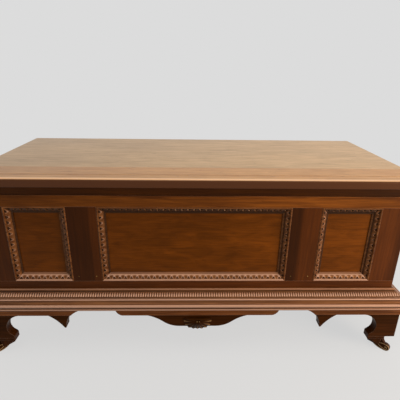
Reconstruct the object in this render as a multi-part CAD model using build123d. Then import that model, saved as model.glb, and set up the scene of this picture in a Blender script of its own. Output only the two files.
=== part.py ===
from build123d import *

import math
import os

# Cassone-style blanket chest: a framed and panelled case with a hinged lid, a deep moulded
# base and bracket feet that end in diagonal scroll toes. Millimetres. +X runs along the
# front towards the right, +Y to the back, +Z up. The origin is on the floor, in the middle
# of the chest's overall box.

# ---------------------------------------------------------------- driving dimensions
body_width = 1120.0  # across the case, outside the corner stiles
body_depth = 477.0  # front frame's face to the back frame's face

foot_height = 158.5  # floor to the underside of the base moulding
base_moulding_height = 51.5
bottom_rail_show = 22.0  # bottom rail above the base moulding
panel_opening_height = 219.5
top_rail_height = 30.5
lid_gap = 0.5  # case to closed lid
skirt_height = 27.0  # rim under the lid
lid_thickness = 22.0

front_frame_thickness = 26.0
end_frame_thickness = 22.0
back_frame_thickness = 22.0
rail_behind_moulding = 38.5  # part of the bottom rails that the base moulding covers
corner_stile_width = 72.0
side_opening_width = 158.5
mid_stile_width = 77.7
end_stile_width = 62.0
back_stile_width = 60.0
back_top_rail_height = 60.0
arris_radius = 4.0  # rounded front corners of the case

front_panel_recess = 13.0
end_panel_recess = 6.0
back_panel_recess = 6.0
panel_thickness = 7.0
groove_depth = 8.0
panel_play = 1.5  # room for a panel to swell in its grooves
groove_stop = 20.0  # grooves stop short of the rail ends

panel_moulding_width = 21.0
panel_moulding_proud = 1.5  # the outer bead stands in front of the frame
panel_bead_width = 5.0
panel_ovolo_step = 1.0  # bead's foot to the start of the ovolo
panel_ovolo_bow = 2.6
panel_fillet_width = 4.5  # flat at the inner edge
panel_fillet_height = 2.5  # the flat's face in front of the panel
panel_fillet_step = 0.5

bottom_board_thickness = 12.0
base_rail_height = 32.0
base_rail_width = 60.0

lid_overhang = 22.0
lid_front_board_depth = 110.0
lid_tongue = 8.0
lid_tongue_thickness = 6.0
lid_edge_radius = 6.0
lid_under_radius = 2.0
lid_groove_inset = 38.0  # front edge to the scratched groove
lid_groove_width = 3.0
lid_groove_depth = 1.5
skirt_set_back = 3.0
skirt_thickness = 22.0

# Base moulding: reach in front of the case, and drop below the moulding's top. The torus
# and the members under it are placed from the moulding's bottom instead.
moulding_reach = 38.0
top_bead_start = 3.0
top_bead_radius = 3.0
ribbed_band_start = (8.5, 7.5)
ribbed_band_end = (21.0, 15.5)
ribbed_band_bow = 0.8
shelf_reach = 26.0
shelf_drop = 16.9
small_bead_reach = 28.6
small_bead_drops = (18.1, 21.5)
small_bead_bow = 0.8
cove_reach = 27.2
cove_start_drop = 25.5
cove_bow = 2.1
torus_radius = 4.4
torus_rise = 14.9  # moulding's bottom to the torus centre
foot_bead_radius = 2.8
foot_bead_rise = 4.2  # moulding's bottom to the lower bead's centre

bracket_thickness = 24.5
strip_proud = 7.5  # planted strip in front of the brackets
strip_height = 17.0
wing_height = 22.5  # depth of a bracket's thin wing below the base moulding

toe_height = 58.5  # floor to the underside of the front brackets
toe_block_width = 11.0
toe_roll_radius = 11.3
toe_roll_inset = 15.5  # corner to the toe roll's centre, along the diagonal
toe_roll_turn = 75.0  # degrees above the inward direction where the roll meets the neck
toe_neck_inset = 34.0  # corner to the top of the neck, along the diagonal
toe_neck_bow = 2.0
toe_heel_inset = 66.0  # corner to the back of the toe block, along the diagonal
toe_heel_lift = 9.0  # floor to the underside of the toe block at its back
toe_sole_flat = 8.5  # flat of the toe on the floor, from under the roll's centre
toe_heel_radius = 44.0
toe_heel_turn = 35.0  # degrees of the heel's arc
sole_heel = 8.0  # thickness of the sole under the hook
sole_drop = 35.0  # underside of the bracket to the sole's lowest point
sole_low_reach = 37.0  # corner to the sole's lowest point, along a face
sole_front_reach = 28.0  # corner to the start of the sole, along a face
sole_set_back = 5.0  # bracket's face to the sole's wedge, under a lip that is flush

foot_neck_width = 60.0  # corner to the deepest point of the scroll cut
foot_scroll_crown = 13.5  # wing's underside to the top of the scroll cut
foot_scroll_turn = 240.0  # degrees, where the scroll cut meets the hook
hook_back_rise = 10.66  # underside of the bracket to where the scroll cut meets the hook
hook_length = 3.4  # the hook's tip past the end of the scroll cut
hook_nose = 7.0  # height of the hook's blunt nose
arch_start = 105.0  # corner to where the wing's straight edge starts
pendant_start = 180.0  # corner to where the wing's straight edge ends
pendant_reach = 227.0  # corner to the inner side of the pendant
pendant_tip_width = 6.0
pendant_tip_lift = 1.5  # the tip's outer corner above its lowest point
pendant_drop = 64.0  # base moulding to the pendant's tip
pendant_shoulder = 10.0  # straight length of the pendant's inner side
pendant_outer_bow = 3.5
pendant_inner_bow = 9.5
wing_reach = 271.0  # corner to the inner end of the wing

apron_shift = 10.0  # the centre apron sits this far right of the middle
apron_half_width = 226.0
apron_end_step = 18.0
apron_end_slope = 9.0
apron_end_bow = 3.6
apron_flat_end = 142.0  # half-width where the flat edge turns down
apron_wave_middle = 97.0
apron_wave_drop = 43.5  # base moulding to the turn in the wave
apron_wave_bow = 2.7
apron_drop_half_width = 50.0
apron_drop = 59.5  # base moulding to the apron's lowest edge
apron_drop_bow = 4.3

shell_half_width = 39.5
shell_depth = 34.0  # shell's root to its lowest lobe
shell_root_drop = 34.0  # base moulding to the shell's root
shell_crown_rise = 4.5
shell_thickness = 9.0
shell_lobes = 9
shell_lobe_bulge = 2.4

rear_foot_width = 62.0
rear_foot_straight = 50.0  # straight height of the rear foot's inner side
rear_arch_reach = 95.0  # back face to where the rear foot's curve ends
rear_arch_bow = 10.0
glue_block_size = 22.0
rear_block_lift = 3.0

hinge_length = 64.0
hinge_spacing = 400.0
hinge_count = 3
knuckle_count = 5
knuckle_gap = 0.3
barrel_radius = 3.75
barrel_clearance = 0.25  # barrel to the back faces
pin_radius = 1.6
pin_clearance = 0.05
pin_cap_radius = 2.7
pin_cap_height = 1.2
leaf_thickness = 2.0
leaf_width = 19.0
screw_count = 3
screw_inset = 10.0  # hinge end to the first screw
screw_shank_radius = 1.7
screw_head_radius = 3.5
screw_length = 15.0
screw_slot_width = 0.8
screw_slot_depth = 0.7

# ---------------------------------------------------------------- levels and planes
base_top = foot_height + base_moulding_height
opening_bottom = base_top + bottom_rail_show
opening_top = opening_bottom + panel_opening_height
case_top = opening_top + top_rail_height
skirt_bottom = case_top + lid_gap
lid_bottom = skirt_bottom + skirt_height
lid_top = lid_bottom + lid_thickness
case_bottom = base_top - rail_behind_moulding
base_rail_bottom = case_bottom - base_rail_height
strip_bottom = foot_height - strip_height
wing_bottom = foot_height - wing_height

half_width = body_width / 2
axis_offset = barrel_radius + barrel_clearance
barrel_reach = axis_offset + barrel_radius
front_y = (moulding_reach - body_depth - barrel_reach) / 2
back_y = front_y + body_depth
corner_x = half_width + bracket_thickness
corner_y = front_y - bracket_thickness
hinge_y = back_y + axis_offset
hinge_z = case_top + lid_gap / 2

# The scroll cut fills the height between the back of the hook and the wood left above it.
scroll_turn = math.radians(foot_scroll_turn)
scroll_height = wing_bottom - foot_scroll_crown - toe_height - hook_back_rise
foot_scroll_radius = scroll_height / (1 - math.sin(scroll_turn))
scroll_centre_x = foot_neck_width + foot_scroll_radius
scroll_centre_z = wing_bottom - foot_scroll_crown - foot_scroll_radius
hook_reach = scroll_centre_x + foot_scroll_radius * math.cos(scroll_turn) + hook_length

# How far a cutting solid stands past the face that it cuts, and how far apart two
# coordinates may be and still count as the same place.
cut_past = 1.0
same_place = 0.01

sides = (("left", -1), ("right", 1))


# ---------------------------------------------------------------- small makers
def block(x0, x1, y0, y1, z0, z1):
    """A box between two corners."""
    return Pos((x0 + x1) / 2, (y0 + y1) / 2, (z0 + z1) / 2) * Box(x1 - x0, y1 - y0, z1 - z0)


def prism(edges, direction, amount):
    """The closed outline of the given edges, extruded."""
    return extrude(make_face(Wire(edges)), amount=amount, dir=direction)


def polygon_prism(points, direction, amount):
    """A straight-sided outline, extruded."""
    return extrude(make_face(Polyline(points, close=True)), amount=amount, dir=direction)


def bowed(start, end, bow):
    """An outline step: the arc to end whose middle lies bow to the left of the chord."""
    run, rise = end[0] - start[0], end[1] - start[1]
    length = math.hypot(run, rise)
    middle = (
        (start[0] + end[0]) / 2 - bow * rise / length,
        (start[1] + end[1]) / 2 + bow * run / length,
    )
    return (middle, end)


def on_circle(centre, radius, degrees):
    """The point of a circle at an angle."""
    angle = math.radians(degrees)
    return (centre[0] + radius * math.cos(angle), centre[1] + radius * math.sin(angle))


def outline(steps, place):
    """Edges through the steps: a point is a line to it, a pair is an arc through the first."""
    edges = []
    here = steps[0]
    for step in steps[1:]:
        if isinstance(step[0], tuple):
            middle, end = step
            edges.append(ThreePointArc(place(*here), place(*middle), place(*end)))
            here = end
        else:
            edges.append(Line(place(*here), place(*step)))
            here = step
    if here != steps[0]:
        edges.append(Line(place(*here), place(*steps[0])))
    return edges


def vertical_edges(solid, x, y):
    """Vertical edges of a solid at a given x and y."""
    found = []
    for edge in solid.edges().filter_by(Axis.Z):
        at = edge.center()
        if abs(at.X - x) < same_place and abs(at.Y - y) < same_place:
            found.append(edge)
    return found


def single(shape):
    """The one solid of a shape."""
    solids = shape.solids()
    if len(solids) != 1:
        raise ValueError(f"expected one solid, found {len(solids)}")
    return solids[0]


parts = {}


def keep(node, *solids):
    """Names the solids of one node."""
    parts[node] = [single(solid) for solid in solids]


# ---------------------------------------------------------------- framed walls
# A wall is made lying along X with its outer face at y = 0 and its thickness towards +y,
# and is then placed. Rails run through, stiles stand between them on stub tenons.
class Wall:
    def __init__(self, width, thickness, recess, top_rail):
        self.half = width / 2
        self.thickness = thickness
        self.near = recess
        self.far = recess + panel_thickness
        self.low = opening_bottom
        self.high = case_top - top_rail
        self.reach = self.half - groove_stop

    def slot(self, x0, x1, z0, z1):
        """A slab as thick as the panels, in their plane."""
        return block(x0, x1, self.near, self.far, z0, z1)

    def bottom_rail(self):
        rail = block(-self.half, self.half, 0, self.thickness, case_bottom, self.low)
        return rail - self.slot(-self.reach, self.reach, self.low - groove_depth, self.low)

    def top_rail(self):
        rail = block(-self.half, self.half, 0, self.thickness, self.high, case_top)
        return rail - self.slot(-self.reach, self.reach, self.high, self.high + groove_depth)

    def stile(self, x0, x1):
        """An upright with a stub tenon at each end and a groove along each panel edge."""
        low, high = self.low - groove_depth, self.high + groove_depth
        solid = block(x0, x1, 0, self.thickness, self.low, self.high)
        solid = solid + self.slot(max(x0, -self.reach), min(x1, self.reach), low, high)
        if x0 > -self.half:
            solid = solid - self.slot(x0, x0 + groove_depth, low, high)
        if x1 < self.half:
            solid = solid - self.slot(x1 - groove_depth, x1, low, high)
        return solid

    def panel(self, x0, x1):
        """A flat panel whose edges lie in the grooves around the opening x0 to x1."""
        edge = groove_depth - panel_play
        return self.slot(x0 - edge, x1 + edge, self.low - edge, self.high + edge)


def make_front():
    place = Pos(0, front_y, 0)
    wall = Wall(body_width, front_frame_thickness, front_panel_recess, top_rail_height)
    centre = half_width - corner_stile_width - side_opening_width - mid_stile_width
    side_in = centre + mid_stile_width
    side_out = side_in + side_opening_width
    for word, rail in (("bottom", wall.bottom_rail()), ("top", wall.top_rail())):
        ends = vertical_edges(rail, half_width, 0) + vertical_edges(rail, -half_width, 0)
        keep(f"front_{word}_rail", place * fillet(ends, arris_radius))
    for name, side in sides:
        opening = sorted((side * side_in, side * side_out))
        corner = wall.stile(*sorted((side * side_out, side * half_width)))
        corner = fillet(vertical_edges(corner, side * half_width, 0), arris_radius)
        keep(f"front_corner_stile_{name}", place * corner)
        middle = wall.stile(*sorted((side * centre, side * side_in)))
        keep(f"front_mid_stile_{name}", place * middle)
        keep(f"front_panel_{name}", place * wall.panel(*opening))
        make_panel_moulding(name, *opening)
    keep("front_panel_centre", place * wall.panel(-centre, centre))
    make_panel_moulding("centre", -centre, centre)


def make_ends():
    length = body_depth - front_frame_thickness
    middle = front_y + front_frame_thickness + length / 2
    wall = Wall(length, end_frame_thickness, end_panel_recess, top_rail_height)
    inner = wall.half - end_stile_width
    for name, side in sides:
        place = Pos(side * half_width, middle, 0) * Rot(0, 0, side * 90)
        keep(f"end_{name}_bottom_rail", place * wall.bottom_rail())
        keep(f"end_{name}_top_rail", place * wall.top_rail())
        stiles = [wall.stile(-wall.half, -inner), wall.stile(inner, wall.half)]
        keep(f"end_{name}_stiles", *(place * stile for stile in stiles))
        keep(f"end_{name}_panel", place * wall.panel(-inner, inner))


def make_back():
    place = Pos(0, back_y, 0) * Rot(0, 0, 180)
    width = body_width - 2 * end_frame_thickness
    wall = Wall(width, back_frame_thickness, back_panel_recess, back_top_rail_height)
    keep("back_bottom_rail", place * wall.bottom_rail())
    keep("back_top_rail", seat_leaves(place * wall.top_rail(), -1))
    inner = wall.half - back_stile_width
    middle = back_stile_width / 2
    uprights = ((-wall.half, -inner), (-middle, middle), (inner, wall.half))
    keep("back_stiles", *(place * wall.stile(*span) for span in uprights))
    openings = ((-inner, -middle), (middle, inner))
    keep("back_panels", *(place * wall.panel(*span) for span in openings))


# ---------------------------------------------------------------- panel mouldings
def panel_moulding_outline(place):
    """Bead, ovolo and fillet: distance in from the outer edge, and depth behind the face."""
    bead_foot = panel_bead_width / 2 - panel_moulding_proud
    ovolo_start = (panel_bead_width, bead_foot + panel_ovolo_step)
    fillet_depth = front_panel_recess - panel_fillet_height
    ovolo_end = (panel_moulding_width - panel_fillet_width, fillet_depth - panel_fillet_step)
    steps = [
        (0.0, front_panel_recess),
        (0.0, bead_foot),
        ((panel_bead_width / 2, -panel_moulding_proud), (panel_bead_width, bead_foot)),
        ovolo_start,
        bowed(ovolo_start, ovolo_end, -panel_ovolo_bow),
        (ovolo_end[0], fillet_depth),
        (panel_moulding_width, fillet_depth),
        (panel_moulding_width, front_panel_recess),
    ]
    return outline(steps, place)


def panel_moulding_stick(length, width):
    """The lower stick of a frame of the given length and width, centred, with mitred ends."""
    half, low = length / 2, -width / 2
    stick = prism(
        panel_moulding_outline(lambda inward, depth: (-half, depth, low + inward)),
        (1, 0, 0),
        length,
    )
    past = panel_moulding_proud + cut_past
    mitres = polygon_prism(
        [
            (-half, -past, low),
            (half, -past, low),
            (half - panel_moulding_width, -past, low + panel_moulding_width),
            (-half + panel_moulding_width, -past, low + panel_moulding_width),
        ],
        (0, 1, 0),
        past + front_panel_recess + cut_past,
    )
    return stick & mitres


def make_panel_moulding(name, x0, x1):
    """Four mitred sticks planted on the panel inside one opening."""
    centre = Pos((x0 + x1) / 2, front_y, (opening_bottom + opening_top) / 2)
    wide, high = x1 - x0, panel_opening_height
    sticks = []
    for turn, length, width in ((0, wide, high), (90, high, wide), (180, wide, high), (270, high, wide)):
        sticks.append(centre * Rot(0, turn, 0) * panel_moulding_stick(length, width))
    keep(f"panel_moulding_{name}", *sticks)


# ---------------------------------------------------------------- base
def base_moulding_outline(place):
    """Bead, ribbed band, shelf, small bead, cove, torus and lower bead."""
    bead_end = (top_bead_start + top_bead_radius, top_bead_radius)
    bead_middle = on_circle((top_bead_start, top_bead_radius), top_bead_radius, -45)
    bead_top, bead_bottom = small_bead_drops
    foot_reach = moulding_reach - torus_radius
    torus_drop = base_moulding_height - torus_rise
    foot_bead_drop = base_moulding_height - foot_bead_rise
    cove_start = (cove_reach, cove_start_drop)
    torus_top = (foot_reach, torus_drop - torus_radius)
    steps = [
        (0.0, 0.0),
        (top_bead_start, 0.0),
        (bead_middle, bead_end),
        (bead_end[0], ribbed_band_start[1]),
        ribbed_band_start,
        bowed(ribbed_band_start, ribbed_band_end, -ribbed_band_bow),
        (ribbed_band_end[0], shelf_drop),
        (shelf_reach, shelf_drop),
        (shelf_reach, bead_top),
        (small_bead_reach, bead_top),
        bowed((small_bead_reach, bead_top), (small_bead_reach, bead_bottom), -small_bead_bow),
        (cove_reach, bead_bottom),
        cove_start,
        bowed(cove_start, torus_top, cove_bow),
        ((moulding_reach, torus_drop), (foot_reach, torus_drop + torus_radius)),
        (foot_reach, foot_bead_drop - foot_bead_radius),
        ((foot_reach + foot_bead_radius, foot_bead_drop), (foot_reach, foot_bead_drop + foot_bead_radius)),
        (foot_reach, base_moulding_height),
        (0.0, base_moulding_height),
    ]
    return outline(steps, place)


def make_base_mouldings():
    """Three lengths round the front and ends, mitred at the front corners."""
    reach = moulding_reach + cut_past
    front = prism(
        base_moulding_outline(lambda out, drop: (-half_width - reach, front_y - out, base_top - drop)),
        (1, 0, 0),
        body_width + 2 * reach,
    )
    front_mitres = polygon_prism(
        [
            (-half_width, front_y, foot_height),
            (half_width, front_y, foot_height),
            (half_width + reach, front_y - reach, foot_height),
            (-half_width - reach, front_y - reach, foot_height),
        ],
        (0, 0, 1),
        base_moulding_height,
    )
    keep("base_moulding_front", front & front_mitres)
    for name, side in sides:

        def place(out, drop):
            return (side * (half_width + out), front_y - reach, base_top - drop)

        end = prism(base_moulding_outline(place), (0, 1, 0), body_depth + reach)
        end_mitre = polygon_prism(
            [
                (side * half_width, front_y, foot_height),
                (side * half_width, back_y, foot_height),
                (side * (half_width + reach), back_y, foot_height),
                (side * (half_width + reach), front_y - reach, foot_height),
            ],
            (0, 0, 1),
            base_moulding_height,
        )
        keep(f"base_moulding_{name}", end & end_mitre)


def make_base_frame():
    """Flat frame that carries the case and its bottom, and holds the brackets."""
    bottom, top = base_rail_bottom, case_bottom
    rear = back_y - base_rail_width
    front = front_y + base_rail_width
    keep(
        "base_rails_long",
        block(-half_width, half_width, front_y, front, bottom, top),
        block(-half_width, half_width, rear, back_y, bottom, top),
    )
    inner = half_width - base_rail_width
    middle = base_rail_width / 2
    spans = ((-half_width, -inner), (-middle, middle), (inner, half_width))
    keep("base_rails_cross", *(block(x0, x1, front, rear, bottom, top) for x0, x1 in spans))
    inside = half_width - end_frame_thickness
    board_front = front_y + front_frame_thickness
    board_back = back_y - back_frame_thickness
    board_top = case_bottom + bottom_board_thickness
    keep("bottom_board", block(-inside, inside, board_front, board_back, case_bottom, board_top))


# ---------------------------------------------------------------- brackets and apron
# Bracket outlines are given as distance in from the outer corner, and height.
def front_foot_steps():
    """Hook, scroll cut and the larger arc that rises from it, tangent, into the wing."""
    centre = (scroll_centre_x, scroll_centre_z)
    over, up = arch_start - centre[0], wing_bottom - centre[1]
    arch_radius = (over**2 + up**2 - foot_scroll_radius**2) / (2 * (up - foot_scroll_radius))
    arch_centre = (arch_start, wing_bottom - arch_radius)
    meet = math.degrees(math.atan2(centre[1] - arch_centre[1], -over)) % 360
    return [
        (0.0, foot_height),
        (0.0, toe_height),
        (hook_reach, toe_height),
        (hook_reach, toe_height + hook_nose),
        on_circle(centre, foot_scroll_radius, foot_scroll_turn),
        (
            on_circle(centre, foot_scroll_radius, (foot_scroll_turn + meet) / 2),
            on_circle(centre, foot_scroll_radius, meet),
        ),
        (on_circle(arch_centre, arch_radius, (meet + 90) / 2), (arch_start, wing_bottom)),
    ]


def front_bracket_steps():
    """The foot, the thin wing and the pendant at its inner end."""
    tip = foot_height - pendant_drop
    outer = (pendant_reach - pendant_tip_width, tip + pendant_tip_lift)
    inner = (pendant_reach, tip + pendant_tip_width / 2)
    shoulder = (pendant_reach, tip + pendant_shoulder)
    return front_foot_steps() + [
        (pendant_start, wing_bottom),
        bowed((pendant_start, wing_bottom), outer, pendant_outer_bow),
        ((pendant_reach - pendant_tip_width / 2, tip), inner),
        shoulder,
        bowed(shoulder, (wing_reach, foot_height), pendant_inner_bow),
    ]


def end_bracket_steps():
    """Front foot, long shallow arch and a plain rear foot reaching the floor."""
    back = body_depth + bracket_thickness
    arch_end = (back - rear_arch_reach, wing_bottom)
    foot_top = (back - rear_foot_width, rear_foot_straight)
    return front_foot_steps() + [
        arch_end,
        bowed(arch_end, foot_top, rear_arch_bow),
        (back - rear_foot_width, 0.0),
        (back, 0.0),
        (back, foot_height),
    ]


def with_strip_corner(steps):
    """The same outline carried past the corner, as far as the strips stand proud."""
    return [(-strip_proud, foot_height), (-strip_proud, toe_height)] + steps[2:]


def make_front_brackets():
    far = body_width
    for name, side in sides:

        def place(inward, height):
            return (side * (corner_x - inward), corner_y, height)

        mitre = polygon_prism(
            [
                (side * half_width, front_y, 0),
                (side * (half_width + far), front_y - far, 0),
                (-side * far, front_y - far, 0),
                (-side * far, front_y, 0),
            ],
            (0, 0, 1),
            foot_height,
        )
        steps = front_bracket_steps()
        board = prism(outline(steps, place), (0, 1, 0), bracket_thickness)
        keep(f"front_bracket_{name}", board & mitre)
        strip = prism(outline(with_strip_corner(steps), place), (0, -1, 0), strip_proud)
        above = block(-far, far, front_y - far, front_y, strip_bottom, foot_height)
        keep(f"front_strip_{name}", strip & above & mitre)


def make_end_brackets():
    far = body_width
    for name, side in sides:

        def place(inward, height):
            return (side * corner_x, corner_y + inward, height)

        mitre = polygon_prism(
            [
                (side * half_width, front_y, 0),
                (side * (half_width + far), front_y - far, 0),
                (side * (half_width + far), back_y, 0),
                (side * half_width, back_y, 0),
            ],
            (0, 0, 1),
            foot_height,
        )
        steps = end_bracket_steps()
        board = prism(outline(steps, place), (-side, 0, 0), bracket_thickness)
        keep(f"end_bracket_{name}", board & mitre)
        strip = prism(outline(with_strip_corner(steps), place), (side, 0, 0), strip_proud)
        above = block(-far, far, -far, back_y, strip_bottom, foot_height)
        keep(f"end_strip_{name}", strip & above & mitre)


def apron_steps():
    """Half of the centre apron's outline, from the right end to the middle."""
    end = (apron_half_width, foot_height)
    step = (apron_half_width - apron_end_step, strip_bottom)
    flat_end = (apron_flat_end, wing_bottom)
    wave = (apron_wave_middle, foot_height - apron_wave_drop)
    low = (apron_drop_half_width, foot_height - apron_drop)
    return [
        end,
        bowed(end, step, apron_end_bow),
        (step[0] - apron_end_slope, wing_bottom),
        flat_end,
        bowed(flat_end, wave, -apron_wave_bow),
        bowed(wave, low, apron_drop_bow),
    ]


def mirrored(steps):
    """The other half of a symmetric outline, walked back to its start."""
    moves = []
    for step in steps:
        moves.append(step if isinstance(step[0], tuple) else (None, step))
    walk = [(-moves[-1][1][0], moves[-1][1][1])]
    for index in range(len(moves) - 1, 0, -1):
        middle = moves[index][0]
        before = moves[index - 1][1]
        end = (-before[0], before[1])
        walk.append(end if middle is None else ((-middle[0], middle[1]), end))
    return walk


def make_apron():
    half = apron_steps()
    steps = half + mirrored(half)

    def place(across, height):
        return (apron_shift + across, corner_y, height)

    keep("apron_centre", prism(outline(steps, place), (0, 1, 0), bracket_thickness))
    strip = prism(outline(steps, place), (0, -1, 0), strip_proud)
    reach = apron_half_width + abs(apron_shift)
    above = block(-reach, reach, corner_y - strip_proud, corner_y, strip_bottom, foot_height)
    keep("apron_strip", strip & above)


def make_shell():
    """A fan of lobes that spreads down from its root, glued on the apron's face."""
    root = foot_height - shell_root_drop

    def rim(degrees, pulled_in):
        angle = math.radians(degrees)
        return (
            apron_shift + (shell_half_width - pulled_in) * math.cos(angle),
            corner_y,
            root + (shell_depth - pulled_in) * math.sin(angle),
        )

    step = 180 / shell_lobes
    edges = []
    for lobe in range(shell_lobes):
        start = 180 + lobe * step
        cusp, crest = rim(start, shell_lobe_bulge), rim(start + step / 2, 0)
        edges.append(ThreePointArc(cusp, crest, rim(start + step, shell_lobe_bulge)))
    crown = (apron_shift, corner_y, root + shell_crown_rise)
    edges.append(ThreePointArc(rim(360, shell_lobe_bulge), crown, rim(180, shell_lobe_bulge)))
    keep("apron_shell", prism(edges, (0, -1, 0), shell_thickness))


# ---------------------------------------------------------------- toes and glue blocks
def toe_roll_steps():
    """Scroll toe in the diagonal plane: distance in from the corner, and height."""
    centre = (toe_roll_inset, toe_roll_radius)
    heel_start = toe_roll_inset + toe_sole_flat
    heel_centre = (heel_start, toe_heel_radius)
    lift = on_circle(centre, toe_roll_radius, toe_roll_turn)
    return [
        (toe_heel_inset, toe_height),
        (toe_heel_inset, toe_heel_lift),
        on_circle(heel_centre, toe_heel_radius, toe_heel_turn - 90),
        (on_circle(heel_centre, toe_heel_radius, toe_heel_turn / 2 - 90), (heel_start, 0.0)),
        (toe_roll_inset, 0.0),
        ((toe_roll_inset - toe_roll_radius, toe_roll_radius), lift),
        bowed(lift, (toe_neck_inset, toe_height), -toe_neck_bow),
    ]


# The soles' outlines run along one face: distance in from the corner, and height.
def lip_steps():
    """Lip that carries the bracket's face down to the thickness of the sole's heel."""
    return [
        (hook_reach, toe_height),
        (hook_reach, toe_height - sole_heel),
        (sole_front_reach, toe_height - sole_heel),
        (sole_front_reach, toe_height),
    ]


def wedge_steps():
    """Wedge that thickens from the heel down to the toe."""
    return [
        (hook_reach, toe_height),
        (hook_reach, toe_height - sole_heel),
        (sole_low_reach, toe_height - sole_drop),
        (sole_front_reach, toe_height),
    ]


def make_toes():
    """A diagonal scroll between two soles that continue the brackets' faces down to it."""
    for name, side in sides:
        inward = Vector(-side, 1, 0).normalized()
        across = Vector(1, side, 0).normalized()
        start = Vector(side * corner_x, corner_y, 0) - across * (toe_block_width / 2)

        def on_diagonal(distance, height):
            point = start + inward * distance
            return (point.X, point.Y, height)

        def sole(steps, set_back):
            """One outline under the front and the end bracket, set back from their faces."""

            def on_front(distance, height):
                return (side * (corner_x - distance), corner_y + set_back, height)

            def on_end(distance, height):
                return (side * (corner_x - set_back), corner_y + distance, height)

            depth = bracket_thickness - set_back
            front = prism(outline(steps, on_front), (0, 1, 0), depth)
            return front + prism(outline(steps, on_end), (-side, 0, 0), depth)

        roll = prism(outline(toe_roll_steps(), on_diagonal), tuple(across), toe_block_width)
        soles = sole(lip_steps(), 0.0) + sole(wedge_steps(), sole_set_back)
        keep(f"front_toe_{name}", roll + soles)


def make_rear_feet():
    """Boards across the back of the rear feet."""
    foot_top = (rear_foot_width, rear_foot_straight)
    steps = [
        (0.0, base_rail_bottom),
        (0.0, 0.0),
        (rear_foot_width, 0.0),
        foot_top,
        bowed(foot_top, (rear_arch_reach, base_rail_bottom), rear_arch_bow),
    ]
    boards = []
    for _, side in sides:

        def place(inward, height):
            return (side * (half_width - inward), back_y, height)

        boards.append(prism(outline(steps, place), (0, -1, 0), bracket_thickness))
    keep("rear_brackets", *boards)


def make_glue_blocks():
    """Square blocks in the inner corners of the feet."""
    rear = back_y - bracket_thickness
    blocks = []
    for _, side in sides:
        x0, x1 = sorted((side * half_width, side * (half_width - glue_block_size)))
        blocks.append(block(x0, x1, front_y, front_y + glue_block_size, toe_height, base_rail_bottom))
        blocks.append(block(x0, x1, rear - glue_block_size, rear, rear_block_lift, base_rail_bottom))
    keep("foot_glue_blocks", *blocks)


# ---------------------------------------------------------------- lid
def round_lid_edges(board, half_length, front):
    """Rounds a board's end edges, and its front edge if it has one, less underneath."""
    for level, radius in ((lid_top, lid_edge_radius), (lid_bottom, lid_under_radius)):
        found = []
        for edge in board.edges():
            at = edge.center()
            at_end = abs(abs(at.X) - half_length) < same_place
            at_front = front is not None and abs(at.Y - front) < same_place
            if abs(at.Z - level) < same_place and (at_end or at_front):
                found.append(edge)
        board = fillet(found, radius)
    return board


def make_lid():
    """Two boards joined with a tongue and groove."""
    half_length = half_width + lid_overhang
    front = front_y - lid_overhang
    joint = front + lid_front_board_depth
    middle = (lid_bottom + lid_top) / 2
    reach = half_length - lid_edge_radius
    half_tongue = lid_tongue_thickness / 2
    tongue = block(-reach, reach, joint - lid_tongue, joint, middle - half_tongue, middle + half_tongue)
    groove_y = front + lid_groove_inset
    groove = block(
        -half_length,
        half_length,
        groove_y,
        groove_y + lid_groove_width,
        lid_top - lid_groove_depth,
        lid_top,
    )
    board = block(-half_length, half_length, front, joint, lid_bottom, lid_top)
    keep("lid_front_board", round_lid_edges(board, half_length, front) - tongue - groove)
    board = block(-half_length, half_length, joint, back_y, lid_bottom, lid_top)
    keep("lid_rear_board", round_lid_edges(board, half_length, None) + tongue)


def make_skirt():
    """The rim that hangs under the lid and meets the top of the case."""
    outer = half_width - skirt_set_back
    inner = outer - skirt_thickness
    front = front_y + skirt_set_back
    behind = front + skirt_thickness
    keep("lid_skirt_front", block(-outer, outer, front, behind, skirt_bottom, lid_bottom))
    rims = []
    for _, side in sides:
        x0, x1 = sorted((side * inner, side * outer))
        rims.append(block(x0, x1, behind, back_y, skirt_bottom, lid_bottom))
    keep("lid_skirt_sides", *rims)
    back = block(-inner, inner, back_y - skirt_thickness, back_y, skirt_bottom, lid_bottom)
    keep("lid_skirt_back", seat_leaves(back, 1))


# ---------------------------------------------------------------- hinges
# A leaf is on the lid's side with up = 1 and on the case's side with up = -1.
def hinge_places():
    first = -(hinge_count - 1) / 2 * hinge_spacing
    return [first + index * hinge_spacing for index in range(hinge_count)]


def leaf_face(up):
    """Level of a leaf's open face."""
    return hinge_z + up * lid_gap / 2


def leaf_plate(x, up, front, back):
    """A slab of a leaf's length and thickness, from front to back."""
    z0, z1 = sorted((leaf_face(up), leaf_face(up) + up * leaf_thickness))
    half = hinge_length / 2
    return block(x - half, x + half, front, back, z0, z1)


def screws(x, up):
    """Countersunk screws of one leaf, heads at the leaf's open face."""
    pitch = (hinge_length - 2 * screw_inset) / (screw_count - 1)
    depth = screw_length - leaf_thickness
    head = Pos(0, 0, leaf_thickness / 2) * Cone(screw_head_radius, screw_shank_radius, leaf_thickness)
    shank = Pos(0, 0, leaf_thickness + depth / 2) * Cylinder(screw_shank_radius, depth)
    turn = Rot(0, 0, 0) if up > 0 else Rot(180, 0, 0)
    made = []
    for index in range(screw_count):
        at = x - hinge_length / 2 + screw_inset + index * pitch
        made.append(Pos(at, back_y - leaf_width / 2, leaf_face(up)) * turn * (head + shank))
    return made


def seat_leaves(board, up):
    """Cuts the leaves' mortises and the screws' holes into a board."""
    for x in hinge_places():
        board = board - leaf_plate(x, up, back_y - leaf_width, back_y + cut_past)
        for screw in screws(x, up):
            board = board - screw
    return board


def slotted(screw, up):
    """A screw with its driver slot."""
    at = screw.center()
    z0, z1 = sorted((leaf_face(up), leaf_face(up) + up * screw_slot_depth))
    half = screw_slot_width / 2
    slot = block(at.X - screw_head_radius, at.X + screw_head_radius, at.Y - half, at.Y + half, z0, z1)
    return screw - slot


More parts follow.
